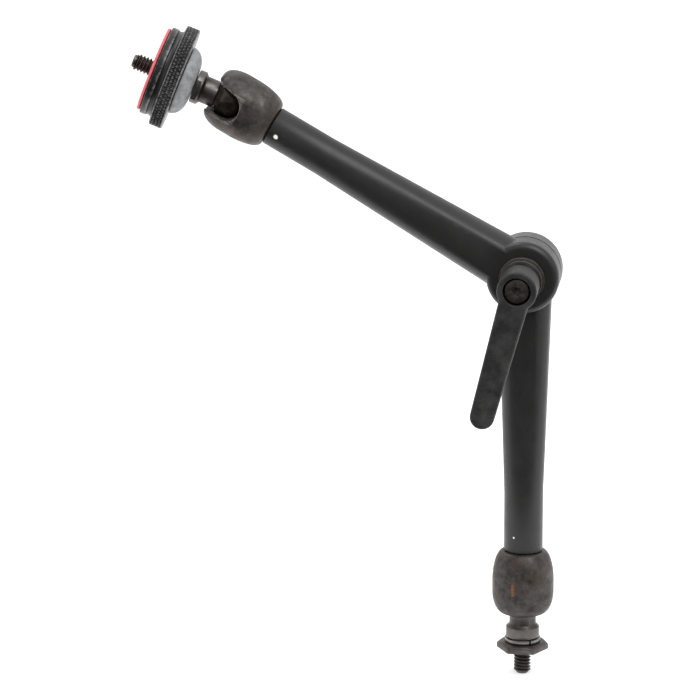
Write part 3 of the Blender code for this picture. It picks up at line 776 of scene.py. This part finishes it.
clampShape = {"boltHole": 3.3, "collarR": 8.25, "collarT": 2.2, "footR": 7.6, "footT": 2.3,
              "neckTop": 9.0, "shankR": 4.6, "bossR": 7.15, "bossTop": 22.7, "shelf": 12.6,
              "shelfT": 1.6, "boltReach": 7.6, "screwR": 1.9, "screwHeadR": 4.4, "screwHeadT": 2.2,
              "headSunk": 1.0, "leverReach": 47.0, "leverRootHalf": 5.4, "leverTipR": 4.4,
              "leverT": 5.4, "leverDrop": 0.4, "leverFlare": 0.05, "bossRound": 0.9, "wellR": 5.0,
              "screwHoleR": 2.6, "screwHoleLow": 5.0, "past": 40.0, "lobeR": 1.55, "lobeRise": 0.22,
              "lobeDepth": 1.5, "boltHeadR": 8.3, "boltHeadT": 3.0, "boltRound": 1.2,
              "socketR": 2.9, "socketDepth": 1.8}


def makeCollars():
    c = clampShape
    collarHigh = gap + c["collarT"]
    collar = spun([(c["collarR"], collarHigh), (c["collarR"], gap), (c["boltHole"], gap),
                   (c["boltHole"], collarHigh)], 96, ring=True, cut=0.3)
    finished(collar, clampPlace, "thrustCollar", "clamp_collar", "thrust_washer",
             turnedSteelFinish("collarSteel", clampPlace, brownSteel, 0.34))
    footLow = collarHigh + gap
    footHigh = footLow + c["footT"]
    neckR = c["shankR"] + 1.0
    bore = c["screwR"] + gap
    top = c["shelf"] - gap
    insert = spun([(bore, top), (c["shankR"], top), (c["shankR"], c["neckTop"]), (neckR, c["neckTop"]),
                   (neckR, footHigh), (c["footR"], footHigh), (c["footR"], footLow),
                   (c["boltHole"], footLow), (c["boltHole"], c["boltReach"] + gap),
                   (bore, c["boltReach"] + gap)], 96, ring=True, cut=0.25)
    finished(insert, clampPlace, "threadedInsert", "clamp_insert", "clamp_insert",
             turnedSteelFinish("insertSteel", clampPlace, brownSteel, 0.34))
    print("collar and insert made")


def leverBody():
    c = clampShape
    low = c["neckTop"] + gap
    soft = c["bossRound"]
    boss = spun([(0, c["bossTop"])] + arc(c["bossR"] - soft, c["bossTop"] - soft, soft, soft, 90, 0, 8)
                + [(c["bossR"], low), (0, low)], 112, cut=0.25)
    outline = [(c["leverRootHalf"], 0.0), (-c["leverRootHalf"], 0.0)]
    outline += arc(0, -c["leverReach"], c["leverTipR"], c["leverTipR"], -180, 0, 30)
    handleTop = c["bossTop"] - c["leverDrop"]
    handle = extruded(outline, handleTop - c["leverT"], handleTop)
    handle = bevelled(handle, 1.0, 40.0, 4)
    for v in handle.verts:
        v.co.z += c["leverFlare"] * abs(v.co.y)
    body = combined(boss, handle, "UNION")
    for radius, start, end in ((c["shankR"] + gap, 0.0, c["shelf"]),
                               (c["wellR"], c["shelf"] + c["shelfT"], c["past"]),
                               (c["screwHoleR"], c["screwHoleLow"], c["past"])):
        bore = spun([(0, end), (radius, end), (radius, start), (0, start)], 80, cut=0)
        body = combined(body, bore)
    return bevelled(body, 0.3, 35.0, 3)


def screwBody():
    c = clampShape
    top = c["bossTop"] - c["headSunk"]
    low = top - c["screwHeadT"]
    end = c["boltReach"] + 2.0 * gap
    body = spun([(0, top), (c["screwHeadR"], top), (c["screwHeadR"], low), (c["screwR"], low),
                 (c["screwR"], end), (0, end)], 80, cut=0.35)
    lobes = []
    for i in range(72):
        a = 2.0 * math.pi * i / 72
        radius = c["lobeR"] + c["lobeRise"] * math.cos(6.0 * a)
        lobes.append((radius * math.cos(a), radius * math.sin(a)))
    return bevelled(combined(body, extruded(lobes, top - c["lobeDepth"], top + 2.0)), 0.1)


def boltBody():
    c = clampShape
    low = mateOffset + armShape["flatHalf"] + gap
    top = low + c["boltHeadT"]
    end = -mateOffset - armShape["flatHalf"] - c["boltReach"]
    radius = c["boltHole"] - gap
    soft = c["boltRound"]
    body = spun([(0, top)] + arc(c["boltHeadR"] - soft, top - soft, soft, soft, 90, 0, 8)
                + [(c["boltHeadR"], low), (radius, low), (radius, end), (0, end)], 96, cut=0.25)
    socket = arc(0, 0, c["socketR"], c["socketR"], 0, 300, 5)
    return bevelled(combined(body, extruded(socket, top - c["socketDepth"], top + 2.0)), 0.12)


def makeLever():
    finished(leverBody(), clampPlace, "clampingLever", "lever", "lever",
             powderCoatFinish("powderCoat"))
    finished(screwBody(), clampPlace, "lobedScrew", "clamp_insert", "lever_screw",
             turnedSteelFinish("screwSteel", clampPlace, brownSteel, 0.38))
    finished(boltBody(), rearPlace, "elbowBolt", "pivot_bolt", "pivot_bolt",
             turnedSteelFinish("boltSteel", rearPlace, brownSteel, 0.36))
    print("lever made")


# inner parts that keep their own shape

def finishInnerParts():
    pale = {label: turnedSteelFinish(label + "InnerSteel", place, paleSteel, 0.34)
            for label, place in (("lower", lowerArmPlace), ("upper", upperArmPlace),
                                 ("clamp", clampPlace))}
    inner = {"elbow_friction_disc": fibreFinish("pressedFibre"), "front_wedge": pale["clamp"],
             "rear_wedge": pale["clamp"], "lever_spring": pale["clamp"]}
    for label in ("lower", "upper"):
        for part in ("push_rod", "ball_pad", "cup_ring"):
            inner[label + "_" + part] = pale[label]
    for node, material in inner.items():
        obj = frame["nodes"][node]
        obj.data.materials.clear()
        obj.data.materials.append(material)
    print("inner parts finished")


# studio

# lengths in metres; a softbox has its offset from the middle of the part, its side and its power
studio = {"floorSize": 30.0, "floorTone": 0.75, "floorGlow": 0.46,
          "worldBright": 1.08, "worldFront": 0.28, "worldEdges": (0.35, 0.85),
          "softboxes": {"frontSoftbox": ((0.5, -0.6, 0.9), 0.7, 6.5),
                        "topSoftbox": ((-0.3, 0.3, 1.1), 0.6, 3.0)},
          "cardAt": (0.14, -0.95, -0.28), "cardSize": 3.0, "cardGap": 0.12, "cardLift": 0.001,
          "cameraAzimuth": 8.1286, "cameraElevation": 13.3891, "cameraRoll": -0.298,
          "cameraDistance": 1.1086, "lens": 158.07, "sensor": 36.0,
          "aim": (-0.06122, -0.01676, -0.02587)}      # from the elbow's joint


def viewDirection():
    a, e = math.radians(studio["cameraAzimuth"]), math.radians(studio["cameraElevation"])
    return Vector((math.sin(a) * math.cos(e), -math.cos(a) * math.cos(e), math.sin(e)))


def makeCamera():
    back = viewDirection()
    data = bpy.data.cameras.new("studioCamera")
    data.lens = studio["lens"]
    data.sensor_width = studio["sensor"]
    camera = bpy.data.objects.new("studioCamera", data)
    bpy.context.scene.collection.objects.link(camera)
    turn = back.to_track_quat("Z", "Y").to_matrix()
    roll = Matrix.Rotation(math.radians(studio["cameraRoll"]), 3, "Z")
    position = elbow + Vector(studio["aim"]) + back * studio["cameraDistance"]
    camera.matrix_world = Matrix.Translation(position) @ (turn @ roll).to_4x4()
    bpy.context.scene.camera = camera


def stagePlane(name, centre, size):
    bm = bmesh.new()
    bmesh.ops.create_grid(bm, x_segments=4, y_segments=4, size=size)
    bmesh.ops.translate(bm, verts=bm.verts, vec=centre)
    plane = asObject(bm, name)
    return plane


def makeFloor():
    low = cadBox[0].z
    tone = studio["floorTone"]
    floor = stagePlane("studioFloor", (0, 0, low), studio["floorSize"])
    finish = newFinish("studioFloor", (tone,) * 3, 0.9, 0.0, 0.1)
    finish["shader"].inputs["Emission Color"].default_value = (1, 1, 1, 1)
    finish["shader"].inputs["Emission Strength"].default_value = studio["floorGlow"]
    floor.data.materials.append(finish["material"])
    # a dark card in front, which only the gloss sees
    size = studio["cardSize"]
    card = stagePlane("darkCard", (0, -size - studio["cardGap"], low + studio["cardLift"]), size)
    card.data.materials.append(newFinish("darkCard", (0.01, 0.01, 0.01), 1.0, 0.0, 0.0)["material"])
    card.visible_camera = card.visible_diffuse = card.visible_shadow = False


def areaLight(name, place, target, side, power):
    data = bpy.data.lights.new(name, "AREA")
    data.shape = "RECTANGLE"
    data.size = data.size_y = side
    data.energy = power
    light = bpy.data.objects.new(name, data)
    bpy.context.scene.collection.objects.link(light)
    turn = (place - target).to_track_quat("Z", "Y").to_matrix().to_4x4()
    light.matrix_world = Matrix.Translation(place) @ turn


def makeLight():
    world = bpy.data.worlds.new("studioWorld")
    bpy.context.scene.world = world
    world.use_nodes = True
    nodes, links = world.node_tree.nodes, world.node_tree.links
    # bright all round, with a dark card on the viewer's side
    towards = nodes.new("ShaderNodeVectorMath")
    towards.operation = "DOT_PRODUCT"
    towards.inputs[1].default_value = Vector(studio["cardAt"]).normalized()
    links.new(nodes.new("ShaderNodeTexCoord").outputs["Generated"], towards.inputs[0])
    shade = nodes.new("ShaderNodeMapRange")
    shade.interpolation_type = "SMOOTHSTEP"
    for socket, value in zip(("From Min", "From Max", "To Min", "To Max"),
                             (*studio["worldEdges"], studio["worldBright"], studio["worldFront"])):
        shade.inputs[socket].default_value = value
    links.new(towards.outputs["Value"], shade.inputs["Value"])
    links.new(shade.outputs["Result"], nodes["Background"].inputs["Strength"])
    nodes["Background"].inputs["Color"].default_value = (1, 1, 1, 1)
    centre = (cadBox[0] + cadBox[1]) / 2.0
    for name, (offset, side, power) in studio["softboxes"].items():
        areaLight(name, centre + Vector(offset), centre, side, power)
    bpy.context.scene.view_settings.view_transform = "Standard"


makeArms()
makeCups()
makeStuds()
makeBase()
makeHead()
makeCollars()
makeLever()
finishInnerParts()
makeCamera()
makeFloor()
makeLight()
